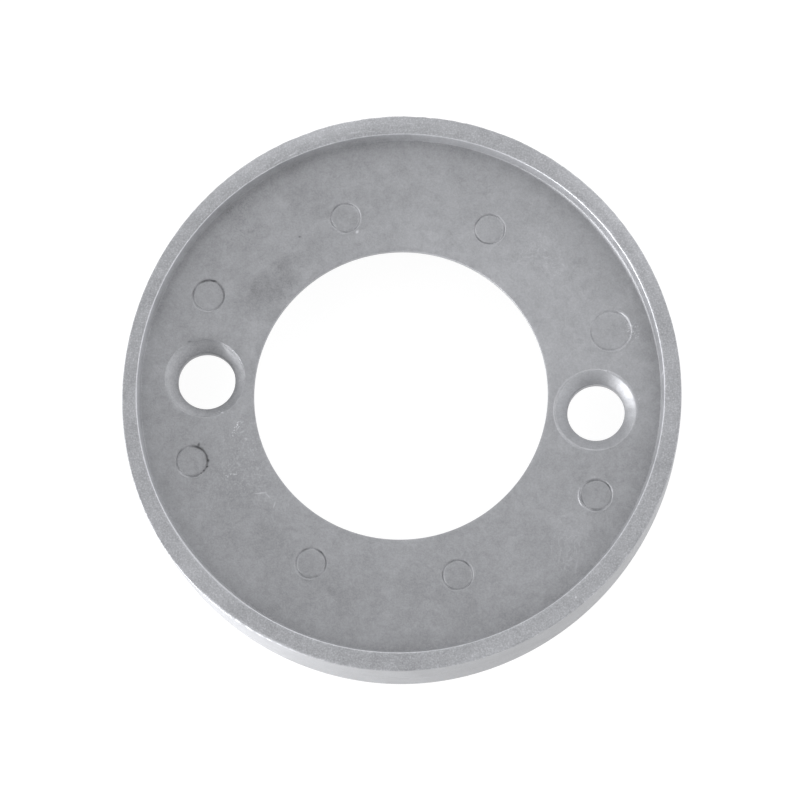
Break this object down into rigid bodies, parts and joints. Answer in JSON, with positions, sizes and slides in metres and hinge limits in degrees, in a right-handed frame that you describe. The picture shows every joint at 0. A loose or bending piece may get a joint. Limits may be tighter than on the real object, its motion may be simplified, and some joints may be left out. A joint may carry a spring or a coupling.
{
  "type": "sacrificial anode ring",
  "caption": "Round die-cast sacrificial anode collar with a raised rim, a recessed floor, a large central bore and countersunk fixing holes.",
  "frame": {"origin": "on the bore's axis at the bottom of the back face", "axes": "+X through the two fixing holes, toward the one with the crisp countersink; +Y across their line; +Z along the bore's axis, out of the recessed face"},
  "size_m": [0.124, 0.124, 0.02],
  "materials": {
    "cast_zinc": "as-cast matt zinc grey"
  },
  "bodies": {
    "root": {"anode_ring": "cast_zinc"}
  },
  "joints": []
}
